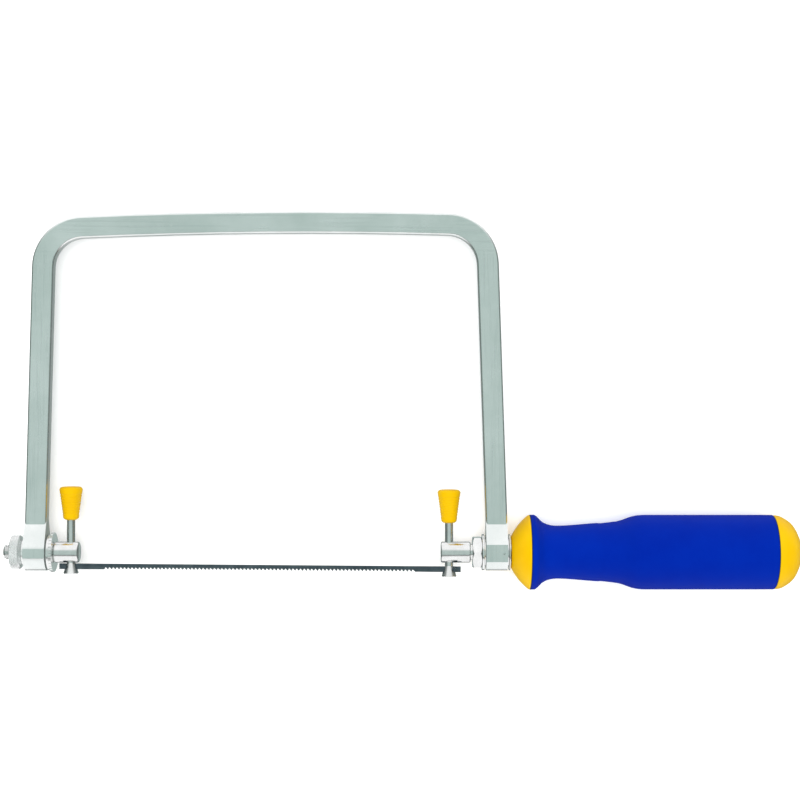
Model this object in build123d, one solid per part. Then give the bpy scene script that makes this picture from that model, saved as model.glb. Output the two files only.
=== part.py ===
from build123d import *
import os
from math import acos, atan2, cos, hypot, pi, sin, tan

# Coping saw. Millimetres.
# X runs along the handle, from the frame towards the butt of the handle. Y runs from the blade towards
# the back of the frame. Z is square to the frame's plane, so the saw lies on its side with Z up.
# The origin is on the handle's axis, at the middle of the grip.

# Frame: a flat bar bent to a C, with an eye at each end
BAR_WIDTH = 9.1
BAR_DEPTH = 6.35
BAR_EDGE_RADIUS = 0.9
CORNER_RADIUS = 21.8
FRONT_EYE_OUT = -288.4
REAR_EYE_OUT = -83.9
EYE_RADIUS = 7.8
FRONT_EYE_HALF_DEPTH = 7.55
REAR_EYE_HALF_DEPTH = 6.9
EYE_TOP = 12.0
FRONT_LEG_SPLAY = 1.56
REAR_LEG_SPLAY = 1.9
BACK_LEFT = (-256.6, 142.8)
BACK_CROWN = (-187.0, 144.5)
BACK_RIGHT = (-116.0, 143.9)

# Threads are plain cylinders at the crest radius
FRONT_THREAD_RADIUS = 3.0
REAR_THREAD_RADIUS = 4.0
REAR_NECK_RADIUS = 3.35
RUNNING = 0.07
SNUG = 0.02
GAP = 0.05

# Spigots, lever pins and knobs
SPIGOT_RADIUS = 4.45
PIN_RADIUS = 1.75
PIN_FOOT_RADIUS = 3.2
PIN_FOOT_HEIGHT = 4.6
PIN_LENGTH = 35.4
KNOB_LOW = 22.8
KNOB_TOP = 36.9
KNOB_LOW_RADIUS = 3.3
KNOB_TOP_RADIUS = 5.05
FRONT_PIN_X = -269.3
REAR_PIN_X = -108.6
FRONT_PIN_FOOT_Y = -9.1
REAR_PIN_FOOT_Y = -10.4
SEAT_HEIGHT = 3.1
SEAT_OFFSET = 2.25

# Blade
BLADE_HEIGHT = 2.4
BLADE_THICKNESS = 0.5
BLADE_OVERHANG = 2.7
TOOTH_COUNT = 83
TOOTH_PITCH = 1.592
TOOTH_DEPTH = 1.0
FIRST_TOOTH = 16.4
CROSS_PIN_RADIUS = 0.8
CROSS_PIN_LENGTH = 5.0

# Washers, nuts and the serrated ring
WASHER_RADIUS = 7.7
WASHER_BOSS_RADIUS = 6.0
WASHER_BOSS_HEIGHT = 0.6
FRONT_RING_RADIUS = 8.4
JAM_NUT_FLATS = 12.6
THUMB_NUT_RADIUS = 7.1
THUMB_NUT_COLLAR_RADIUS = 5.6

# Handle
BOLSTER_FRONT = -82.3
SLEEVE_FRONT = -74.4
SLEEVE_BACK = 28.9
FLANGE_RADIUS = 15.85
PALM_START = -25.5
PALM_RADIUS = 15.8
HANDLE_END = 40.5
CORE_RADIUS = 8.6
INSERT_RADIUS = 5.5
INSERT_END = -52.0
STUD_END = -56.0


def rod(x_start, x_end, radius):
    """A solid cylinder along X."""
    middle = (x_start + x_end) / 2
    return Pos(middle, 0, 0) * Rot(0, 90, 0) * Cylinder(radius, x_end - x_start)


def ring(x_start, x_end, outer_radius, inner_radius):
    """A plain ring about the X axis."""
    return rod(x_start, x_end, outer_radius) - rod(x_start - 1, x_end + 1, inner_radius)


def eased(shape, size):
    """The shape with a small chamfer on every round edge."""
    return chamfer(shape.edges().filter_by(GeomType.CIRCLE), size)


def turned(outline):
    """A solid turned about the X axis from a closed outline in the upper half of the XY plane."""
    return revolve(make_face(outline), axis=Axis.X)


def flutes(shape, x_start, x_end, radius, count, depth):
    """Cuts V-shaped flutes along X round a shape's rim, as a straight knurl does."""
    half_angle = pi / count * 0.8
    reach = radius + 0.5
    root = radius - depth
    notch = Polyline(
        (0, root),
        (reach * sin(half_angle), reach * cos(half_angle)),
        (-reach * sin(half_angle), reach * cos(half_angle)),
        close=True,
    )
    cutter = extrude(Plane.YZ.offset(x_start - 1) * make_face(notch), x_end - x_start + 2)
    for index in range(count):
        shape -= Rot(index * 360 / count, 0, 0) * cutter
    return shape


def frame_outline():
    """The C of the frame in the XY plane."""
    floor = -30.0
    apex = 150.0
    front_top = FRONT_EYE_OUT + (apex - EYE_TOP) * tan(FRONT_LEG_SPLAY * pi / 180)
    rear_top = REAR_EYE_OUT - (apex - EYE_TOP) * tan(REAR_LEG_SPLAY * pi / 180)
    legs = make_face(
        Polyline(
            (FRONT_EYE_OUT, floor),
            (FRONT_EYE_OUT, EYE_TOP),
            (front_top, apex),
            (rear_top, apex),
            (REAR_EYE_OUT, EYE_TOP),
            (REAR_EYE_OUT, floor),
            close=True,
        )
    )
    crown = ThreePointArc(BACK_LEFT, BACK_CROWN, BACK_RIGHT)
    centre = crown.arc_center
    below_back = Pos(centre.X, centre.Y) * Circle(crown.radius)
    outside = legs & below_back
    corners = outside.vertices().filter_by_position(Axis.Y, 100, 200)
    outside = fillet(corners, CORNER_RADIUS)
    inside = offset(outside, -BAR_WIDTH, kind=Kind.INTERSECTION)
    bottom = Pos(-190, floor) * Rectangle(300, 2 * (-floor - EYE_RADIUS))
    return outside - inside - bottom


def leg_section():
    """The bar seen along X: a strip that spreads into a round eye."""
    half = BAR_DEPTH / 2
    reach = hypot(EYE_TOP, half)
    angle = atan2(half, EYE_TOP) + acos(EYE_RADIUS / reach)
    touch = (EYE_RADIUS * cos(angle), EYE_RADIUS * sin(angle))
    strip = Pos(80, 0) * Rectangle(160, BAR_DEPTH)
    shoulder = make_face(
        Polyline(
            (0, touch[1]),
            touch,
            (EYE_TOP, half),
            (EYE_TOP, -half),
            (touch[0], -touch[1]),
            (0, -touch[1]),
            close=True,
        )
    )
    return strip + shoulder + Circle(EYE_RADIUS)


def eye_flats(x, half_depth):
    """The stock above and below one eye, which leaves a flat on each of its sides."""
    slab = Box(2 * BAR_WIDTH, 30, 10)
    return Pos(x, 0, half_depth + 5) * slab + Pos(x, 0, -half_depth - 5) * slab


def frame_bar():
    flat = extrude(frame_outline(), EYE_RADIUS, both=True)
    along = extrude(Plane.YZ.offset(-300) * leg_section(), 230)
    bar = flat & along
    bar -= eye_flats(FRONT_EYE_OUT + BAR_WIDTH / 2, FRONT_EYE_HALF_DEPTH)
    bar -= eye_flats(REAR_EYE_OUT - BAR_WIDTH / 2, REAR_EYE_HALF_DEPTH)
    bar = fillet(bar.edges().filter_by_position(Axis.Y, 13, 200), BAR_EDGE_RADIUS)
    bar -= rod(FRONT_EYE_OUT - 1, FRONT_EYE_OUT + BAR_WIDTH + 1, FRONT_THREAD_RADIUS + RUNNING)
    bar -= rod(REAR_EYE_OUT - BAR_WIDTH - 1, REAR_EYE_OUT + 1, REAR_THREAD_RADIUS + RUNNING)
    seam_y = -1.9
    seam_x = FRONT_EYE_OUT + BAR_WIDTH / 2
    seam = Pos(seam_x, seam_y, FRONT_EYE_HALF_DEPTH) * Box(BAR_WIDTH * 0.75, 0.3, 0.6)
    drilling = Pos(REAR_EYE_OUT - 1.6, 0, REAR_EYE_HALF_DEPTH) * Cylinder(0.55, 3.0)
    return bar - seam - drilling


def lever_pin(x, foot_y, outboard):
    """The pin through a spigot, up to its knob, with a flared slotted foot that hooks the blade's end."""
    outline = Polyline(
        (0, 0),
        (PIN_FOOT_RADIUS - 0.3, 0),
        (PIN_FOOT_RADIUS, 0.3),
        (PIN_RADIUS, PIN_FOOT_HEIGHT),
        (PIN_RADIUS, PIN_LENGTH - 0.5),
        (PIN_RADIUS - 0.5, PIN_LENGTH),
        (0, PIN_LENGTH),
        close=True,
    )
    pin = revolve(make_face(outline), axis=Axis.Y)
    slot_height = PIN_FOOT_HEIGHT - 0.1
    pin -= Pos(0, slot_height / 2 - 1, 0) * Box(10, slot_height + 2, 0.9)
    pin -= Pos(outboard * SEAT_OFFSET, SEAT_HEIGHT, 0) * Cylinder(CROSS_PIN_RADIUS + 0.1, 10)
    return Pos(x, foot_y, 0) * pin


def knob(x, foot_y):
    """A tapered plastic finger knob, wider at its top, with shallow grip grooves round it."""
    outline = Polyline(
        (0, KNOB_LOW),
        (KNOB_LOW_RADIUS, KNOB_LOW),
        (KNOB_TOP_RADIUS, KNOB_TOP),
        (0, KNOB_TOP),
        close=True,
    )
    face = make_face(outline)
    rims = face.vertices().filter_by_position(Axis.X, 1, 10)
    face = fillet(rims, 1.1)
    body = revolve(face, axis=Axis.Y)
    socket = Pos(0, (KNOB_LOW + PIN_LENGTH) / 2, 0) * Rot(90, 0, 0)
    body -= socket * Cylinder(PIN_RADIUS + SNUG, PIN_LENGTH - KNOB_LOW + 2 * SNUG)
    return Pos(x, foot_y, 0) * body


def spigot_head(x_start, x_end, pin_x):
    head = eased(rod(x_start, x_end, SPIGOT_RADIUS), 0.4)
    return head - Pos(pin_x, 0, 0) * Rot(90, 0, 0) * Cylinder(PIN_RADIUS + SNUG, 20)


def front_spigot():
    """The front blade holder: a cross-drilled head and its threaded stem."""
    head = spigot_head(-276.2, -265.8, FRONT_PIN_X)
    stem = eased(rod(-297.6, -276.2, FRONT_THREAD_RADIUS), 0.5)
    return head + stem


def rear_spigot():
    """The rear blade holder: head, relieved neck and a stem that screws into the handle."""
    head = spigot_head(-112.1, -99.5, REAR_PIN_X)
    neck = rod(-99.5, -98.2, REAR_NECK_RADIUS)
    stem = eased(rod(-98.7, STUD_END, REAR_THREAD_RADIUS), 0.5)
    return head + neck + stem


def front_ring():
    """The serrated lock ring clamped behind the front spigot's head."""
    x_start, x_end = -277.5, -276.25
    body = ring(x_start, x_end, FRONT_RING_RADIUS, FRONT_THREAD_RADIUS + SNUG)
    return flutes(body, x_start, x_end, FRONT_RING_RADIUS, 36, 0.5)


def washer(x_boss, x_face, hole_radius):
    """A washer with a low boss at x_boss that bears on an eye of the frame. Its plain face is at x_face."""
    step = WASHER_BOSS_HEIGHT if x_face > x_boss else -WASHER_BOSS_HEIGHT
    x_flange = x_boss + step
    flange = ring(min(x_flange, x_face), max(x_flange, x_face), WASHER_RADIUS, hole_radius)
    boss = ring(min(x_boss, x_flange), max(x_boss, x_flange), WASHER_BOSS_RADIUS, hole_radius)
    return eased(flange + boss, 0.12)


def jam_nut():
    """A thin hexagonal nut, corners towards +Z and -Z, with both faces chamfered."""
    x_start, x_end = -98.7, -94.75
    corner = JAM_NUT_FLATS / 2 / cos(pi / 6)
    prism = extrude(
        Plane.YZ.offset(x_start) * RegularPolygon(corner, 6, rotation=90), x_end - x_start
    )
    rounded = chamfer(rod(x_start, x_end, corner).edges(), 0.6, 1.0)
    return (prism & rounded) - rod(x_start - 1, x_end + 1, REAR_THREAD_RADIUS + SNUG)


def thumb_nut():
    """The knurled nut at the front end, with a waisted collar that bears on the eye."""
    x_face, x_back, x_bearing = -294.7, -290.2, FRONT_EYE_OUT - GAP
    rim = eased(rod(x_face, x_back, THUMB_NUT_RADIUS), 0.5)
    rim = flutes(rim, x_face, x_back, THUMB_NUT_RADIUS, 36, 0.45)
    waist = rod(x_back, x_bearing - 1.1, THUMB_NUT_COLLAR_RADIUS - 0.7)
    collar = eased(rod(x_bearing - 1.2, x_bearing, THUMB_NUT_COLLAR_RADIUS), 0.2)
    bore = rod(x_face - 1, x_bearing + 1, FRONT_THREAD_RADIUS + RUNNING)
    return rim + waist + collar - bore


def blade_place():
    """Where the blade's front cross pin sits, with X along the blade."""
    x_front = FRONT_PIN_X - SEAT_OFFSET
    y_front = FRONT_PIN_FOOT_Y + SEAT_HEIGHT
    x_rear = REAR_PIN_X + SEAT_OFFSET
    y_rear = REAR_PIN_FOOT_Y + SEAT_HEIGHT
    slope = atan2(y_rear - y_front, x_rear - x_front) * 180 / pi
    span = hypot(x_rear - x_front, y_rear - y_front)
    return Pos(x_front, y_front, 0) * Rot(0, 0, slope), span


def blade():
    """A narrow blade with plain ends and teeth that point away from the frame's back."""
    place, span = blade_place()
    half = BLADE_HEIGHT / 2
    points = [(-BLADE_OVERHANG, half), (-BLADE_OVERHANG, -half), (FIRST_TOOTH, -half)]
    for index in range(TOOTH_COUNT):
        start = FIRST_TOOTH + index * TOOTH_PITCH
        points.append((start + 0.35 * TOOTH_PITCH, -half + TOOTH_DEPTH))
        points.append((start + TOOTH_PITCH, -half))
    points.append((span + BLADE_OVERHANG, -half))
    points.append((span + BLADE_OVERHANG, half))
    strip = extrude(make_face(Polyline(*points, close=True)), BLADE_THICKNESS / 2, both=True)
    for x in (0, span):
        strip -= Pos(x, 0, 0) * Cylinder(CROSS_PIN_RADIUS + SNUG, 2)
    return place * strip


def cross_pin(at_rear):
    """The hard pin across one end of the blade."""
    place, span = blade_place()
    x = span if at_rear else 0
    pin = chamfer(Cylinder(CROSS_PIN_RADIUS, CROSS_PIN_LENGTH).edges(), 0.15)
    return place * Pos(x, 0, 0) * pin


def handle_bolster():
    front_radius = 6.6
    flank = ThreePointArc((BOLSTER_FRONT, front_radius), (-79.0, 11.8), (SLEEVE_FRONT - 0.6, 15.7))
    rest = Polyline(
        (SLEEVE_FRONT - 0.6, 15.7),
        (SLEEVE_FRONT, 15.8),
        (SLEEVE_FRONT, INSERT_RADIUS + SNUG),
        (BOLSTER_FRONT, INSERT_RADIUS + SNUG),
        (BOLSTER_FRONT, front_radius),
    )
    return turned(flank + rest)


def handle_insert():
    """The threaded bush in the handle that the rear stem screws into."""
    bush = ring(BOLSTER_FRONT + GAP, INSERT_END, INSERT_RADIUS, REAR_THREAD_RADIUS + RUNNING)
    for x in (-70, -64, -58):
        bush -= ring(x, x + 1.5, INSERT_RADIUS + 1, INSERT_RADIUS - 0.4)
    return bush


def handle_core():
    """The stiff core under the soft grip."""
    core = rod(SLEEVE_FRONT + SNUG, SLEEVE_BACK - SNUG, CORE_RADIUS)
    return core - rod(SLEEVE_FRONT - 1, INSERT_END + SNUG, INSERT_RADIUS + SNUG)


def grip_sleeve():
    """The soft grip: a flange, a waist for thumb and finger, a swelling and a straight palm section."""
    inner = CORE_RADIUS + SNUG
    lip_end = SLEEVE_FRONT + 2.0
    lip = Line((SLEEVE_FRONT, FLANGE_RADIUS), (lip_end, FLANGE_RADIUS))
    shoulder_start = (-38.0, 13.0)
    waist = Spline(
        (lip_end, FLANGE_RADIUS),
        (-69.6, 13.35),
        (-65.6, 11.5),
        (-61.5, 11.25),
        (-53.0, 11.8),
        (-45.5, 12.35),
        shoulder_start,
        tangents=[(1, -0.5), (1, 0.13)],
    )
    shoulder = Spline(
        shoulder_start,
        (-31.4, 15.0),
        (PALM_START, PALM_RADIUS),
        tangents=[(1, 0.13), (1, 0)],
    )
    rest = Polyline(
        (PALM_START, PALM_RADIUS),
        (SLEEVE_BACK - 0.3, PALM_RADIUS),
        (SLEEVE_BACK, PALM_RADIUS - 0.3),
        (SLEEVE_BACK, inner),
        (SLEEVE_FRONT, inner),
        (SLEEVE_FRONT, FLANGE_RADIUS),
    )
    return turned(lip + waist + shoulder + rest)


def end_cap():
    rim = Line((SLEEVE_BACK, 15.6), (SLEEVE_BACK + 1.0, 15.6))
    dome = Spline(
        (SLEEVE_BACK + 1.0, 15.6),
        (33.6, 14.4),
        (36.9, 11.8),
        (39.4, 7.4),
        (HANDLE_END, 0),
        tangents=[(1, 0), (0, -1)],
    )
    rest = Polyline((HANDLE_END, 0), (SLEEVE_BACK, 0), (SLEEVE_BACK, 15.6))
    return turned(rim + dome + rest)


def main():
    os.makedirs("parts", exist_ok=True)
    front_hole = FRONT_THREAD_RADIUS + RUNNING
    rear_hole = REAR_THREAD_RADIUS + RUNNING
    rear_eye_in = REAR_EYE_OUT - BAR_WIDTH
    parts = {
        "frame_bar": frame_bar(),
        "thumb_nut": thumb_nut(),
        "front_washer": washer(FRONT_EYE_OUT + BAR_WIDTH + GAP, -277.55, front_hole),
        "front_lock_ring": front_ring(),
        "front_spigot": front_spigot(),
        "front_lever_pin": lever_pin(FRONT_PIN_X, FRONT_PIN_FOOT_Y, -1),
        "front_knob": knob(FRONT_PIN_X, FRONT_PIN_FOOT_Y),
        "blade": blade(),
        "front_cross_pin": cross_pin(False),
        "rear_cross_pin": cross_pin(True),
        "rear_spigot": rear_spigot(),
        "rear_lever_pin": lever_pin(REAR_PIN_X, REAR_PIN_FOOT_Y, 1),
        "rear_knob": knob(REAR_PIN_X, REAR_PIN_FOOT_Y),
        "jam_nut": jam_nut(),
        "rear_inner_washer": washer(rear_eye_in - GAP, -94.7, rear_hole),
        "rear_outer_washer": washer(REAR_EYE_OUT + SNUG, -82.7, rear_hole),
        "handle_insert": handle_insert(),
        "handle_core": handle_core(),
        "handle_bolster": handle_bolster(),
        "grip_sleeve": grip_sleeve(),
        "end_cap": end_cap(),
    }
    for name, shape in parts.items():
        export_step(shape, f"parts/{name}.step")


main()
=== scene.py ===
import math

import bpy
from mathutils import Matrix, Vector


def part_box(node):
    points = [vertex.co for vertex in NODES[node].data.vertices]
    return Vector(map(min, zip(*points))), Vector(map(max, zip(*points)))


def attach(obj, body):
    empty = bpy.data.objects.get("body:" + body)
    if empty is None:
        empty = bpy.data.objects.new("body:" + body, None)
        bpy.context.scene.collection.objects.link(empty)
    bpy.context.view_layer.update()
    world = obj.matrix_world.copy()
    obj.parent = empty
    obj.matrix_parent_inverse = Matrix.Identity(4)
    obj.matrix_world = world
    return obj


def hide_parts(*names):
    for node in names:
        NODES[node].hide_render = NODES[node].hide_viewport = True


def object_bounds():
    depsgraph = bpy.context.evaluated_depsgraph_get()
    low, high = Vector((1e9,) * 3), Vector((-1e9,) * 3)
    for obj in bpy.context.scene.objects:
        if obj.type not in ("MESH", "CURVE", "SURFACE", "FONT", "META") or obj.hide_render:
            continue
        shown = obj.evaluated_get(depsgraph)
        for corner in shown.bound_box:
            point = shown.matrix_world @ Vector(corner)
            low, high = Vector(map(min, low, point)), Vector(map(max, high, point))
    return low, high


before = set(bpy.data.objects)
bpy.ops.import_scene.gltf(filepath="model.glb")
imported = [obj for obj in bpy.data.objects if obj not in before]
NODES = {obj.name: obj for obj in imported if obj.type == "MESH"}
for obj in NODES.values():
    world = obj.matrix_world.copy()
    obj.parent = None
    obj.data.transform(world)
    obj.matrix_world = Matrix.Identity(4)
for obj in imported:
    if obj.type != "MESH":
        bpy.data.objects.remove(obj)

cad_low, cad_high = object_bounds()

MM = 0.001
TURN = 2 * math.pi


# ---------------------------------------------------------------- places, read from the frame

def box_centre(node):
    low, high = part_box(node)
    return (low + high) / 2


FRONT_STEM_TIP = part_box("front_spigot")[0].x
FRONT_HEAD_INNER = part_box("front_spigot")[1].x
REAR_HEAD_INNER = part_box("rear_spigot")[0].x
REAR_STEM_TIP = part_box("rear_spigot")[1].x
HEAD_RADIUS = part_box("front_spigot")[1].z
BACK_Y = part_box("frame_bar")[1].y
GRIP_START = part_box("grip_sleeve")[0].x
GRIP_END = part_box("grip_sleeve")[1].x


# ---------------------------------------------------------------- meshes

def add_mesh(name, points, faces, sharp_degrees=32):
    mesh = bpy.data.meshes.new(name)
    mesh.from_pydata(points, [], faces)
    mesh.validate()
    mesh.polygons.foreach_set("use_smooth", [True] * len(mesh.polygons))
    mesh.set_sharp_from_angle(angle=math.radians(sharp_degrees))
    piece = bpy.data.objects.new(name, mesh)
    bpy.context.scene.collection.objects.link(piece)
    return piece


def lathe(name, rows, around=96, radius_at=None, place=None, sharp_degrees=32, hollow=False):
    """A closed solid turned about X from rows of (x, radius), lowest x first. The first and last rows close
    on the axis, or meet each other in a hollow piece. radius_at(x, radius, angle) may shift a point."""
    points = []
    for x, radius in rows:
        for step in range(around):
            angle = TURN * step / around
            r = radius_at(x, radius, angle) if radius_at else radius
            points.append(Vector((x, r * math.cos(angle), r * math.sin(angle))))
    faces = []
    for row in range(len(rows) if hollow else len(rows) - 1):
        below, above = row * around, (row + 1) % len(rows) * around
        for step in range(around):
            ahead = (step + 1) % around
            faces.append((below + step, above + step, above + ahead, below + ahead))
    for row, flip in () if hollow else ((0, False), (len(rows) - 1, True)):
        centre = len(points)
        points.append(Vector((rows[row][0], 0, 0)))
        for step in range(around):
            a = row * around + step
            b = row * around + (step + 1) % around
            faces.append((centre, b, a) if flip else (centre, a, b))
    if place:
        points = [place @ point for point in points]
    return add_mesh(name, points, faces, sharp_degrees)


def fine_rows(start, end, radius, step):
    """Rows of one radius at an even step, towards either side."""
    count = max(2, round(abs(end - start) / step))
    return [(start + (end - start) * i / count, radius) for i in range(count + 1)]


def thread(start, end, pitch, depth):
    """A radius rule that cuts a right-hand V thread between two places on X and fades it out at both."""
    fade = pitch * 0.5

    def radius_at(x, radius, angle):
        inside = min(x - start, end - x)
        if inside <= 0:
            return radius
        phase = (x / pitch - angle / TURN) % 1
        groove = max(0.0, 1 - abs(2 * phase - 1) * 1.25)
        return radius - depth * groove * min(1.0, inside / fade)

    return radius_at


def spigot_rows(head_inner, head_outer, stem_end, head_radius, stem_radius, neck_radius, neck_end):
    """The outline of a blade holder along X, going away from its blade. Head first, then neck and stem."""
    way = 1 if stem_end > head_inner else -1
    ease = 0.45 * MM
    rows = [
        (head_inner, head_radius - ease),
        (head_inner + way * 0.15 * MM, head_radius - 0.22 * MM),
        (head_inner + way * ease, head_radius),
        (head_outer - way * ease, head_radius),
        (head_outer, head_radius - ease),
        (head_outer, neck_radius),
        (neck_end, neck_radius),
        (neck_end, stem_radius - 0.5 * MM),
    ]
    rows += fine_rows(neck_end + way * 0.4 * MM, stem_end - way * 0.5 * MM, stem_radius, 0.08 * MM)
    rows.append((stem_end, stem_radius - 0.5 * MM))
    return rows if way > 0 else rows[::-1]


# ---------------------------------------------------------------- materials

class Shader:
    """A small helper that builds a Principled material from named nodes."""

    def __init__(self, name):
        self.material = bpy.data.materials.new(name)
        self.material.use_nodes = True
        self.tree = self.material.node_tree
        self.tree.nodes.clear()
        self.principled = self.add("ShaderNodeBsdfPrincipled")
        output = self.add("ShaderNodeOutputMaterial")
        self.link(self.principled.outputs["BSDF"], output.inputs["Surface"])
        self.place = self.add("ShaderNodeTexCoord").outputs["Object"]

    def add(self, kind, **settings):
        made = self.tree.nodes.new(kind)
        for key, value in settings.items():
            setattr(made, key, value)
        return made

    def link(self, source, target):
        self.tree.links.new(source, target)

    def put(self, **values):
        """Sets the Principled shader's own sockets, with underscores for spaces."""
        for key, value in values.items():
            self.principled.inputs[key.replace("_", " ")].default_value = value

    def scaled(self, scale):
        mapping = self.add("ShaderNodeMapping")
        mapping.inputs["Scale"].default_value = scale
        self.link(self.place, mapping.inputs["Vector"])
        return mapping.outputs["Vector"]

    def noise(self, scale, detail=4.0, roughness=0.55, stretch=(1, 1, 1), distortion=0.0):
        made = self.add("ShaderNodeTexNoise")
        made.inputs["Scale"].default_value = scale
        made.inputs["Detail"].default_value = detail
        made.inputs["Roughness"].default_value = roughness
        made.inputs["Distortion"].default_value = distortion
        self.link(self.scaled(stretch), made.inputs["Vector"])
        return made.outputs["Fac"]

    def ramp(self, source, stops):
        made = self.add("ShaderNodeValToRGB")
        elements = made.color_ramp.elements
        while len(elements) < len(stops):
            elements.new(0.5)
        for element, (position, colour) in zip(elements, stops):
            element.position = position
            element.color = colour if len(colour) == 4 else (*colour, 1)
        self.link(source, made.inputs["Fac"])
        return made.outputs["Color"]

    def span(self, source, low, high, from_low=0.3, from_high=0.7):
        made = self.add("ShaderNodeMapRange")
        made.inputs["From Min"].default_value = from_low
        made.inputs["From Max"].default_value = from_high
        made.inputs["To Min"].default_value = low
        made.inputs["To Max"].default_value = high
        self.link(source, made.inputs["Value"])
        return made.outputs["Result"]

    def math(self, operation, first, second):
        made = self.add("ShaderNodeMath", operation=operation)
        for socket, value in zip(made.inputs, (first, second)):
            if isinstance(value, (int, float)):
                socket.default_value = value
            else:
                self.link(value, socket)
        return made.outputs["Value"]

    def blend(self, factor, first, second):
        made = self.add("ShaderNodeMix", data_type="RGBA")
        self.link(factor, made.inputs["Factor"])
        for socket, value in ((made.inputs["A"], first), (made.inputs["B"], second)):
            if isinstance(value, tuple):
                socket.default_value = (*value, 1)
            else:
                self.link(value, socket)
        return made.outputs["Result"]

    def seam(self, colour, x, width, dark):
        """The dark line where two mouldings meet, across X."""
        axes = self.add("ShaderNodeSeparateXYZ")
        self.link(self.place, axes.inputs["Vector"])
        off = self.math("ABSOLUTE", self.math("SUBTRACT", axes.outputs["X"], x), 0)
        return self.blend(self.span(off, 1, 0, 0.6 * width, width), colour, dark)

    def colour(self, source):
        self.link(source, self.principled.inputs["Base Color"])

    def rough(self, source):
        self.link(source, self.principled.inputs["Roughness"])

    def bump(self, height, distance, strength=1.0):
        made = self.add("ShaderNodeBump")
        made.inputs["Distance"].default_value = distance
        made.inputs["Strength"].default_value = strength
        self.link(height, made.inputs["Height"])
        self.link(made.outputs["Normal"], self.principled.inputs["Normal"])


def frame_plate():
    """Satin nickel plate over a drawn bar: fine drawing lines along it, faint clouding, handling marks and
    rougher narrow sides. The sides that face along the saw carry a painted sheen, a paler tint set only by
    their facing."""
    s = Shader("satin_nickel_plate")
    along_back = s.noise(900, 3, 0.6, (0.03, 1, 1))
    along_legs = s.noise(900, 3, 0.6, (1, 0.03, 1))
    split = s.add("ShaderNodeSeparateXYZ")
    s.link(s.place, split.inputs["Vector"])
    on_back = s.span(split.outputs["Y"], 0, 1, BACK_Y - 22 * MM, BACK_Y - 12 * MM)
    lines = s.add("ShaderNodeMix", data_type="FLOAT")
    s.link(on_back, lines.inputs["Factor"])
    s.link(along_legs, lines.inputs["A"])
    s.link(along_back, lines.inputs["B"])
    drawn = lines.outputs["Result"]
    cloud = s.noise(45, 5, 0.6)
    marks = s.noise(260, 6, 0.7, (1, 1, 1), 0.6)
    broad = s.noise(16, 2, 0.5)
    shade = s.math("MULTIPLY", s.math("ADD", cloud, broad), 0.5)
    tone = s.ramp(shade, [(0.38, (0.72, 0.775, 0.755)), (0.62, (0.90, 0.93, 0.92))])
    face = s.add("ShaderNodeSeparateXYZ")
    s.link(s.add("ShaderNodeTexCoord").outputs["Normal"], face.inputs["Vector"])
    flat = s.span(s.math("ABSOLUTE", face.outputs["Z"], 0), 0, 1, 0.96, 0.995)
    streaks = s.math("MULTIPLY", s.span(drawn, 0, 0.6, 0.5, 0.66), flat)
    tone = s.blend(streaks, tone, (0.70, 0.755, 0.74))
    worn = s.span(marks, 0, 0.25, 0.62, 0.74)
    # Painted sheen: faces turned along the saw, the narrow sides of the legs, get a paler tint by their
    # facing alone.
    leg_side_painted_sheen = s.span(s.math("ABSOLUTE", face.outputs["X"], 0), 0, 0.45, 0.6, 0.95)
    s.colour(s.blend(leg_side_painted_sheen, s.blend(worn, tone, (0.70, 0.75, 0.73)), (0.94, 0.99, 0.97)))
    side = s.span(s.math("ABSOLUTE", face.outputs["Z"], 0), 0.35, 0, 0.05, 0.4)
    base = s.math("ADD", s.span(drawn, 0.20, 0.26), side)
    s.rough(s.math("ADD", base, s.span(cloud, 0.0, 0.04)))
    s.bump(s.math("ADD", s.math("MULTIPLY", drawn, 0.35), s.math("MULTIPLY", marks, 0.5)), 0.00001, 0.35)
    s.put(Metallic=1.0)
    return s.material


def bright_plate(name, tint, rough, metal):
    """Bright zinc plate on turned steel: tool rings round the piece, fine pits and an uneven sheen."""
    s = Shader(name)
    rings = s.noise(2600, 2, 0.5, (1, 0.04, 0.04))
    pits = s.noise(1500, 5, 0.65)
    cloud = s.noise(160, 4, 0.6)
    dull = tuple(c * 0.86 for c in tint)
    s.colour(s.ramp(cloud, [(0.3, dull), (0.65, tint)]))
    s.rough(s.math("ADD", s.span(rings, rough, rough + 0.07), s.span(cloud, 0.0, 0.06)))
    s.bump(s.math("ADD", rings, s.math("MULTIPLY", pits, 0.5)), 0.000012, 0.5)
    s.put(Metallic=metal)
    return s.material


def blade_steel():
    """Blue-black tempered strip, with rolling lines along it and slightly brighter streaks."""
    s = Shader("tempered_blade_steel")
    rolled = s.noise(1400, 3, 0.6, (0.03, 1, 1))
    cloud = s.noise(220, 4, 0.6)
    tone = s.ramp(cloud, [(0.3, (0.055, 0.075, 0.09)), (0.7, (0.10, 0.13, 0.15))])
    s.colour(s.blend(s.span(rolled, 0, 0.5, 0.5, 0.75), tone, (0.17, 0.20, 0.22)))
    s.rough(s.span(rolled, 0.28, 0.45))
    s.bump(rolled, 0.000012, 0.5)
    s.put(Metallic=0.85)
    return s.material


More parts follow.
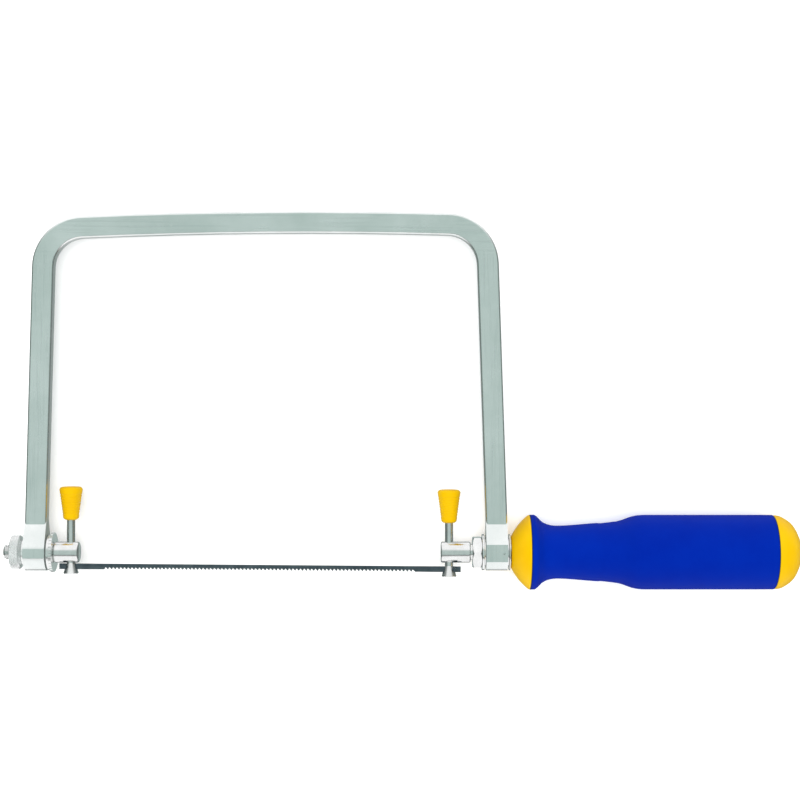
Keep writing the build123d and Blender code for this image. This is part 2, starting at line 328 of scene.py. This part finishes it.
def yellow_plastic(name, rough, painted_light_lift):
    """Injection-moulded yellow: slight flow shading, fine spark-eroded grain, a few rubbed spots and a dark
    line at each joint with the grip. The lift is painted light: above 1 it makes a paler copy of the same
    yellow."""
    s = Shader(name)
    grain = s.noise(2400, 3, 0.6)
    flow = s.noise(60, 4, 0.55)
    scuff = s.noise(420, 6, 0.7, (1, 1, 1), 0.8)
    # A lift above 1 paints light into the yellow, for a part that gets less light.
    deep, pale = (0.705 * painted_light_lift, 0.40 * painted_light_lift, 0.0005), (0.75 * painted_light_lift, 0.45 * painted_light_lift, 0.001)
    tone = s.ramp(flow, [(0.3, deep), (0.7, pale)])
    for x in (GRIP_START, GRIP_END):
        tone = s.seam(tone, x, 0.25 * MM, (0.16, 0.14, 0.01))
    s.colour(tone)
    s.rough(s.math("ADD", s.span(grain, rough, rough + 0.08), s.span(scuff, 0, 0.15, 0.6, 0.75)))
    s.bump(grain, 0.000018, 0.5)
    s.put(IOR=1.49, Specular_IOR_Level=0.1)
    return s.material


def blue_rubber():
    """Soft moulded grip: matte, with a fine leathery grain, faint mottling and a dark line at each joint."""
    s = Shader("blue_grip_rubber")
    cells = s.add("ShaderNodeTexVoronoi", feature="F1")
    cells.inputs["Scale"].default_value = 2100
    s.link(s.place, cells.inputs["Vector"])
    grain = s.noise(1500, 4, 0.6)
    mottle = s.noise(38, 5, 0.6)
    tone = s.ramp(mottle, [(0.3, (0.0, 0.014, 0.28)), (0.7, (0.0002, 0.019, 0.325))])
    for x in (GRIP_START, GRIP_END):
        tone = s.seam(tone, x, 0.35 * MM, (0.0, 0.01, 0.05))
    s.colour(tone)
    s.rough(s.span(mottle, 0.50, 0.60))
    s.bump(s.math("ADD", cells.outputs["Distance"], grain), 0.00004, 0.45)
    s.put(IOR=1.47, Specular_IOR_Level=0.03)
    return s.material


def dress(node, material):
    """Gives a CAD node that keeps its shape a better material."""
    mesh = NODES[node].data
    mesh.materials.clear()
    mesh.materials.append(material)


def round_edges(node, width):
    """Breaks the sharp edges that a CAD node still has."""
    bevel = NODES[node].modifiers.new("broken_edges", "BEVEL")
    bevel.width = width
    bevel.segments = 3
    bevel.limit_method = "ANGLE"
    bevel.angle_limit = math.radians(50)
    bevel.harden_normals = True


def finish_piece(piece, body, node, material):
    piece.data.materials.append(material)
    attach(piece, body)
    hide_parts(node)


# ---------------------------------------------------------------- pieces that replace plain CAD solids

def front_spigot_piece(material):
    stem_radius = 3.0 * MM
    head_outer = FRONT_HEAD_INNER - 10.4 * MM
    neck_end = head_outer - 1.2 * MM
    ends = (FRONT_HEAD_INNER, head_outer, FRONT_STEM_TIP)
    rows = spigot_rows(*ends, HEAD_RADIUS, stem_radius, stem_radius, neck_end)
    rule = thread(FRONT_STEM_TIP - 0.2 * MM, head_outer - 2.0 * MM, 1.0 * MM, 0.5 * MM)
    piece = lathe("front_spigot_turned", rows, 72, rule, sharp_degrees=40)
    finish_piece(piece, "front_spigot", "front_spigot", material)


def rear_spigot_piece(material):
    stem_radius = 4.0 * MM
    head_outer = REAR_HEAD_INNER + 12.6 * MM
    neck_radius = 3.35 * MM
    neck_end = head_outer + 0.9 * MM
    ends = (REAR_HEAD_INNER, head_outer, REAR_STEM_TIP)
    rows = spigot_rows(*ends, HEAD_RADIUS, stem_radius, neck_radius, neck_end)
    rule = thread(head_outer + 1.0 * MM, REAR_STEM_TIP + 0.2 * MM, 1.25 * MM, 0.6 * MM)
    piece = lathe("rear_spigot_turned", rows, 72, rule, sharp_degrees=40)
    finish_piece(piece, "rear_spigot", "rear_spigot", material)


def thumb_nut_piece(material):
    """A diamond-knurled rim with a waisted collar, on a smooth bore."""
    low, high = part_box("thumb_nut")
    rim, waist, collar, bore = high.z, 4.9 * MM, 5.6 * MM, 3.07 * MM
    back = low.x + 4.4 * MM
    ease = 0.5 * MM
    rows = [(low.x, bore + 0.3 * MM), (low.x, rim - 2.2 * MM), (low.x + 0.12 * MM, rim - 1.9 * MM)]
    rows += [(low.x + 0.12 * MM, rim - 1.0 * MM), (low.x + ease, rim)]
    rows += fine_rows(low.x + 1.1 * ease, back - 1.1 * ease, rim, 0.1 * MM)
    rows += [(back - ease, rim), (back, rim - ease)]
    for step in range(9):
        swing = math.pi / 2 * step / 8
        rows.append((back + 0.9 * MM * math.sin(swing) * 0.6, waist + 1.5 * MM * (1 - math.sin(swing))))
    rows += [(high.x - 1.3 * MM, waist), (high.x - 1.1 * MM, collar - 0.15 * MM)]
    rows += [(high.x - 0.95 * MM, collar), (high.x - 0.2 * MM, collar)]
    rows += [(high.x, collar - 0.2 * MM), (high.x, bore + 0.2 * MM)]
    rows += [(high.x - 0.2 * MM, bore), (low.x + 0.3 * MM, bore)]
    knurls, lead, depth = 40, 1.15 * MM, 0.27 * MM

    def knurl(x, radius, angle):
        if radius < rim or not low.x + ease < x < back - ease:
            return radius
        first = abs(2 * ((knurls * angle / TURN + x / lead) % 1) - 1)
        second = abs(2 * ((knurls * angle / TURN - x / lead) % 1) - 1)
        return radius - depth * (1 - min(1.0, 1.6 * min(first, second)))

    piece = lathe("thumb_nut_knurled", rows, 320, knurl, sharp_degrees=40, hollow=True)
    finish_piece(piece, "thumb_nut", "thumb_nut", material)


def knob_piece(end, material):
    """A tapered finger knob with moulded ribs round its flank and a shallow dish in its top."""
    low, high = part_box(end + "_knob")
    length = high.y - low.y
    top_radius = (high.x - low.x) / 2
    foot_radius = top_radius * 0.64
    rib_count, rib_depth = 8, 0.16 * MM
    corner = 1.25 * MM
    rows = [(0, foot_radius - corner), (0.18 * MM, foot_radius - 0.55 * corner)]
    rows.append((0.55 * MM, foot_radius - 0.1 * MM))
    steps = 88
    flank_low, flank_high = 0.07, 0.90
    rib_low, rib_high = 0.16, 0.80
    for i in range(steps + 1):
        t = flank_low + (flank_high - flank_low) * i / steps
        radius = foot_radius + (top_radius - foot_radius) * min(1.0, t / 0.93)
        if rib_low < t < rib_high:
            wave = (t - rib_low) / (rib_high - rib_low) * rib_count * TURN
            radius -= rib_depth * (0.5 - 0.5 * math.cos(wave))
        rows.append((t * length, radius))
    for i in range(1, 9):
        swing = math.pi / 2 * i / 8
        up = flank_high + (1 - flank_high) * math.sin(swing)
        rows.append((length * up, top_radius - corner * 1.1 * (1 - math.cos(swing))))
    rows.append((length, top_radius - 2.2 * MM))
    rows.append((length - 0.25 * MM, top_radius - 2.5 * MM))
    middle = box_centre(end + "_knob")
    place = Matrix.Translation((middle.x, low.y, middle.z)) @ Matrix.Rotation(math.pi / 2, 4, "Z")
    piece = lathe(end + "_knob_moulded", rows, 72, None, place, 50)
    finish_piece(piece, end + "_spigot", end + "_knob", material)


# ---------------------------------------------------------------- stage

def floor():
    size = 20.0
    z = cad_low.z
    corners = [(-size, -size, z), (size, -size, z), (size, size, z), (-size, size, z)]
    plane = add_mesh("floor", corners, [(0, 1, 2, 3)])
    s = Shader("pale_floor")
    tone = s.noise(3, 4, 0.5)
    s.colour(s.ramp(tone, [(0.3, (0.90, 0.90, 0.90)), (0.7, (0.93, 0.93, 0.93))]))
    s.put(Roughness=0.75, Emission_Color=(1.0, 1.0, 1.0, 1.0), Emission_Strength=0.18)
    plane.data.materials.append(s.material)
    plane.visible_glossy = False


def studio_dome():
    """A soft studio all round: a grey-green ceiling, a white wall beyond the frame's back, and another below
    the blade with a dark gap above it. It fades to dark at the saw's two ends and below, which outlines
    the bright metal, and has a pale patch straight below."""
    world = bpy.data.worlds.new("studio")
    world.use_nodes = True
    tree = world.node_tree
    background = tree.nodes["Background"]
    axes = tree.nodes.new("ShaderNodeSeparateXYZ")
    tree.links.new(tree.nodes.new("ShaderNodeTexCoord").outputs["Generated"], axes.inputs["Vector"])

    def rise(source, start, end, low=0.0, high=1.0):
        made = tree.nodes.new("ShaderNodeMapRange")
        made.interpolation_type = "SMOOTHSTEP"
        for socket, value in (("From Min", start), ("From Max", end), ("To Min", low), ("To Max", high)):
            made.inputs[socket].default_value = value
        tree.links.new(source, made.inputs["Value"])
        return made.outputs["Result"]

    def combine(operation, first, second=None):
        made = tree.nodes.new("ShaderNodeMath")
        made.operation = operation
        tree.links.new(first, made.inputs[0])
        if second:
            tree.links.new(second, made.inputs[1])
        return made.outputs["Value"]

    wall = tree.nodes.new("ShaderNodeMix")
    wall.data_type = "RGBA"
    back_wall = rise(axes.outputs["Y"], 0.27, 0.60)
    front_wall = rise(axes.outputs["Y"], -0.49, -0.55)
    gap = combine("MULTIPLY", rise(axes.outputs["Y"], -0.68, -0.58), rise(axes.outputs["Y"], -0.38, -0.48))
    tree.links.new(combine("MAXIMUM", back_wall, front_wall), wall.inputs["Factor"])
    wall.inputs["A"].default_value = (0.53, 0.63, 0.605, 1)
    wall.inputs["B"].default_value = (1.13, 1.12, 1.13, 1)
    tree.links.new(wall.outputs["Result"], background.inputs["Color"])
    ends = rise(combine("ABSOLUTE", axes.outputs["X"]), 0.50, 0.90, 1.0, 0.3)
    dark_ring = rise(axes.outputs["Z"], -0.50, -0.88, 1.0, 0.30)
    pale_patch = rise(axes.outputs["Z"], -0.89, -0.96, 0.0, 0.50)
    below = combine("ADD", dark_ring, pale_patch)
    gap_dims = rise(gap, 0.0, 1.0, 1.0, 0.3)
    strength = combine("MULTIPLY", combine("MULTIPLY", ends, below), gap_dims)
    tree.links.new(strength, background.inputs["Strength"])
    bpy.context.scene.world = world


def lights():
    light = bpy.data.lights.new("top_light", "SUN")
    light.angle = math.radians(40)
    light.energy = 2.6
    light.color = (1.0, 0.985, 0.975)
    lamp = bpy.data.objects.new("top_light", light)
    lamp.visible_glossy = False
    bpy.context.scene.collection.objects.link(lamp)
    studio_dome()


def camera():
    """Straight above the saw's side, with its whole length just inside the picture."""
    distance = 0.712
    fill = 0.994
    aside = Vector((-0.9 * MM, 0.3 * MM, 0))
    data = bpy.data.cameras.new("camera")
    data.sensor_width = 36
    width = (cad_high.x - cad_low.x) / fill
    data.lens = data.sensor_width * distance / width
    data.clip_start, data.clip_end = 0.01, 50
    eye = bpy.data.objects.new("camera", data)
    middle = (cad_low + cad_high) / 2
    eye.location = Vector((middle.x, middle.y, distance)) + aside
    bpy.context.scene.collection.objects.link(eye)
    bpy.context.scene.camera = eye


def main():
    plate = frame_plate()
    bright = bright_plate("bright_zinc_plate", (0.86, 0.875, 0.865), 0.13, 1.0)
    knurled = bright_plate("knurled_zinc_plate", (0.91, 0.93, 0.925), 0.20, 0.82)
    steel = blade_steel()
    yellow = yellow_plastic("yellow_moulding", 0.30, 1.0)
    # The bolster gets a paler copy of the same yellow: painted light that makes up for the shade on its
    # sloping face.
    bolster_yellow_painted_light = yellow_plastic("yellow_bolster_painted_lighter", 0.30, 1.15)
    knob_yellow = yellow_plastic("yellow_knob_moulding", 0.36, 1.0)
    blue = blue_rubber()
    dress("frame_bar", plate)
    for node in ("front_washer", "rear_inner_washer", "rear_outer_washer", "jam_nut", "handle_insert"):
        dress(node, bright)
    for node in ("front_lever_pin", "rear_lever_pin"):
        dress(node, bright)
    dress("front_lock_ring", bright)
    for node in ("blade", "front_cross_pin", "rear_cross_pin"):
        dress(node, steel)
    dress("handle_bolster", bolster_yellow_painted_light)
    for node in ("end_cap", "handle_core"):
        dress(node, yellow)
    dress("grip_sleeve", blue)
    front_spigot_piece(bright)
    rear_spigot_piece(bright)
    thumb_nut_piece(knurled)
    round_edges("frame_bar", 0.45 * MM)
    knob_piece("front", knob_yellow)
    knob_piece("rear", knob_yellow)
    floor()
    lights()
    camera()
    bpy.context.scene.view_settings.view_transform = "Standard"


main()
